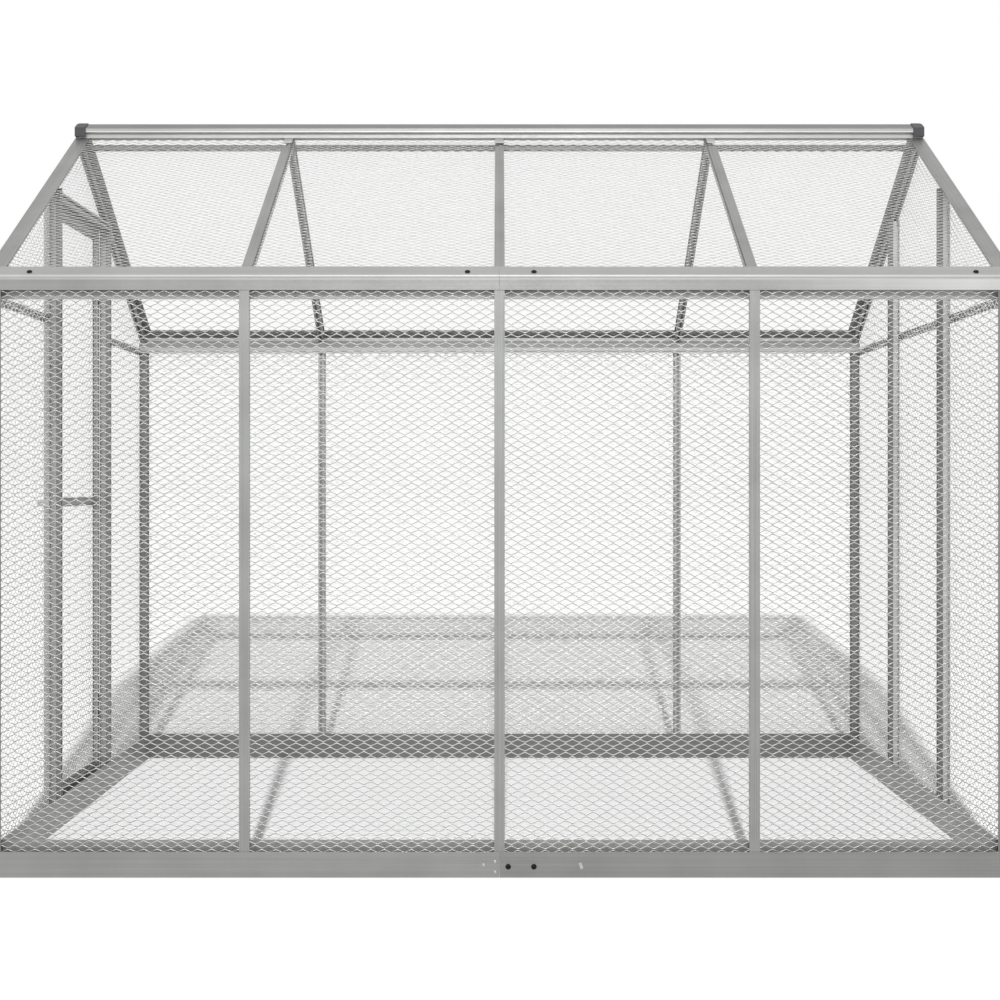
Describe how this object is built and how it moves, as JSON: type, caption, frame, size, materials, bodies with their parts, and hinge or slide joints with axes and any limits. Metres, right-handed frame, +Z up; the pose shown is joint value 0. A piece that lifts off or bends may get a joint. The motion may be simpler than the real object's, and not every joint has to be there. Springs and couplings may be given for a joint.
{
  "type": "walk-in bird cage",
  "caption": "Walk-in outdoor bird cage: extruded aluminium frame with a gable roof, diamond mesh on every side and a hinged mesh door with a slide bolt.",
  "frame": {"origin": "middle of the frame's footprint, on the ground", "axes": "+X to the right along the ridge, seen from the front; +Y to the back; +Z up. The door is in the -X gable."},
  "size_m": [2.4453, 1.786, 1.9418],
  "materials": {
    "aluminium_bar": "satin mill finish",
    "diamond_mesh": "satin",
    "end_cap_plastic": "matte",
    "door_fitting_steel": "zinc plated"
  },
  "bodies": {
    "frame": {"base_front_left": "aluminium_bar", "base_front_right": "aluminium_bar", "base_back": "aluminium_bar", "base_right": "aluminium_bar", "base_left": "aluminium_bar", "post_front_left": "aluminium_bar", "post_front_right": "aluminium_bar", "post_back_right": "aluminium_bar", "post_back_left": "aluminium_bar", "stud_front_1": "aluminium_bar", "stud_front_2": "aluminium_bar", "stud_front_3": "aluminium_bar", "stud_back_1": "aluminium_bar", "stud_back_2": "aluminium_bar", "stud_back_3": "aluminium_bar", "stud_right_1": "aluminium_bar", "stud_right_2": "aluminium_bar", "stud_door_hinge_side": "aluminium_bar", "stud_door_latch_side": "aluminium_bar", "eave_front_left": "aluminium_bar", "eave_front_right": "aluminium_bar", "eave_back": "aluminium_bar", "rafter_front_1": "aluminium_bar", "rafter_front_2": "aluminium_bar", "rafter_front_3": "aluminium_bar", "rafter_front_4": "aluminium_bar", "rafter_front_5": "aluminium_bar", "rafter_back_1": "aluminium_bar", "rafter_back_2": "aluminium_bar", "rafter_back_3": "aluminium_bar", "rafter_back_4": "aluminium_bar", "rafter_back_5": "aluminium_bar", "ridge": "aluminium_bar", "ridge_cap_left": "end_cap_plastic", "ridge_cap_right": "end_cap_plastic", "ridge_bar": "aluminium_bar", "tie_right": "aluminium_bar", "tie_left_back": "aluminium_bar", "tie_left_front": "aluminium_bar", "door_header": "aluminium_bar", "mesh_front": "diamond_mesh", "mesh_back": "diamond_mesh", "mesh_roof_front": "diamond_mesh", "mesh_roof_back": "diamond_mesh", "mesh_right": "diamond_mesh", "mesh_left_back": "diamond_mesh", "mesh_left_front": "diamond_mesh", "mesh_over_door": "diamond_mesh", "hinge_lower": "door_fitting_steel", "hinge_upper": "door_fitting_steel", "latch_keeper": "door_fitting_steel"},
    "door": {"door_stile_hinge": "aluminium_bar", "door_stile_latch": "aluminium_bar", "door_rail_top": "aluminium_bar", "door_rail_bottom": "aluminium_bar", "door_rail_middle": "aluminium_bar", "door_mesh_lower": "diamond_mesh", "door_mesh_upper": "diamond_mesh", "latch_housing": "door_fitting_steel"},
    "bolt": {"latch_bolt": "door_fitting_steel"}
  },
  "joints": [
    {"name": "door_hinge", "type": "hinge", "parent": "frame", "child": "door", "pos_m": [-1.217, 0.2953, 0.86], "axis": [0, 0, -1], "range_deg": [0, 110]},
    {"name": "bolt_slide", "type": "slide", "parent": "door", "child": "bolt", "axis": [0, -1, 0], "range_m": [0, 0.02]}
  ]
}
